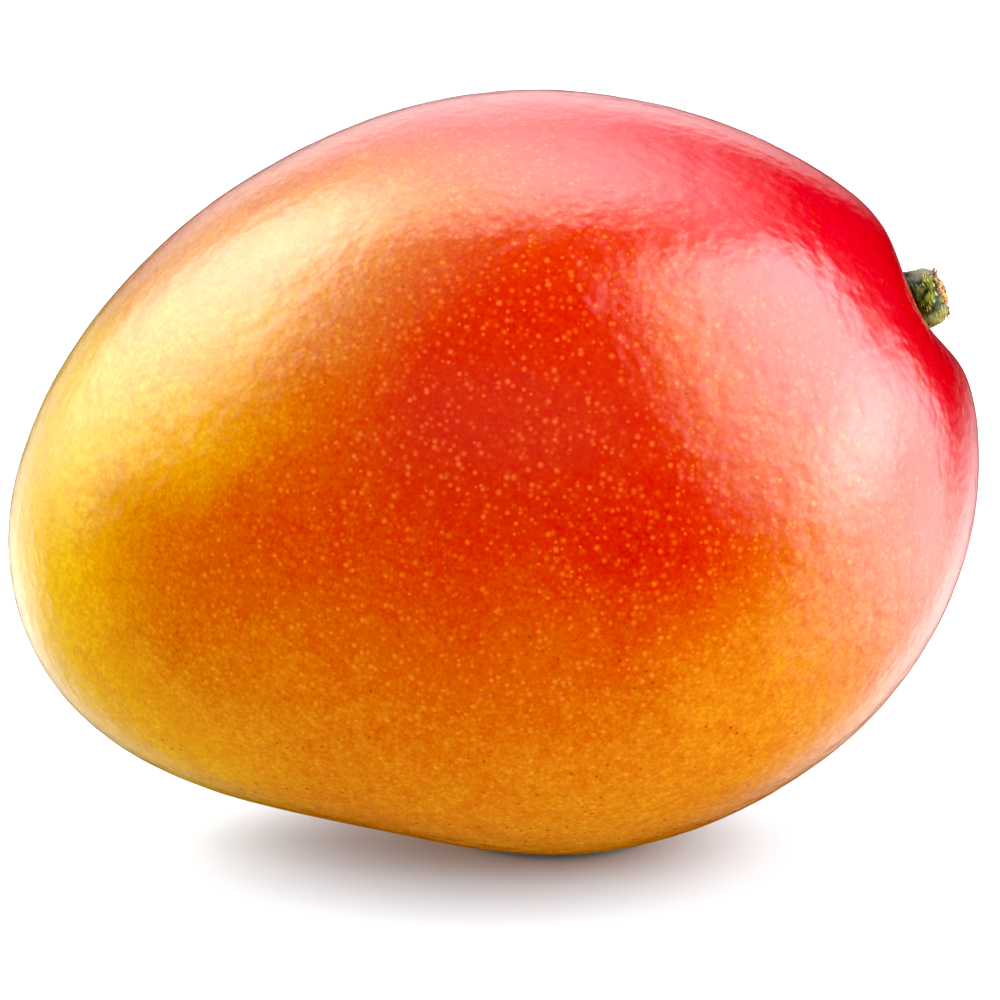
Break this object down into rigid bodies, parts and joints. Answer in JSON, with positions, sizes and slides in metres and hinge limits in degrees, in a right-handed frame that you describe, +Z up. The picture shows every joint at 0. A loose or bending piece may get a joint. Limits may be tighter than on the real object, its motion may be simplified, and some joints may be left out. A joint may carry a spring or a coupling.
{
  "type": "mango",
  "caption": "Whole ripe mango lying on its side: rounded body, red blush over orange and yellow skin, hollowed stem end with the cut stub of its stem.",
  "frame": {"origin": "middle of the bounding box at its lowest level, on the surface that the fruit rests on", "axes": "+X towards the stem end, along the fruit's length; -Y towards the broad side with the deepest blush; +Z up"},
  "size_m": [0.1248, 0.0906, 0.0971],
  "materials": {
    "skin": "waxy mango skin, satin gloss, crimson blush over orange and yellow with fine pale dots",
    "stem": "dry wrinkled green-brown stem with a tan corky cut end"
  },
  "bodies": {
    "root": {"fruit": "skin", "stem": "stem"}
  },
  "joints": []
}
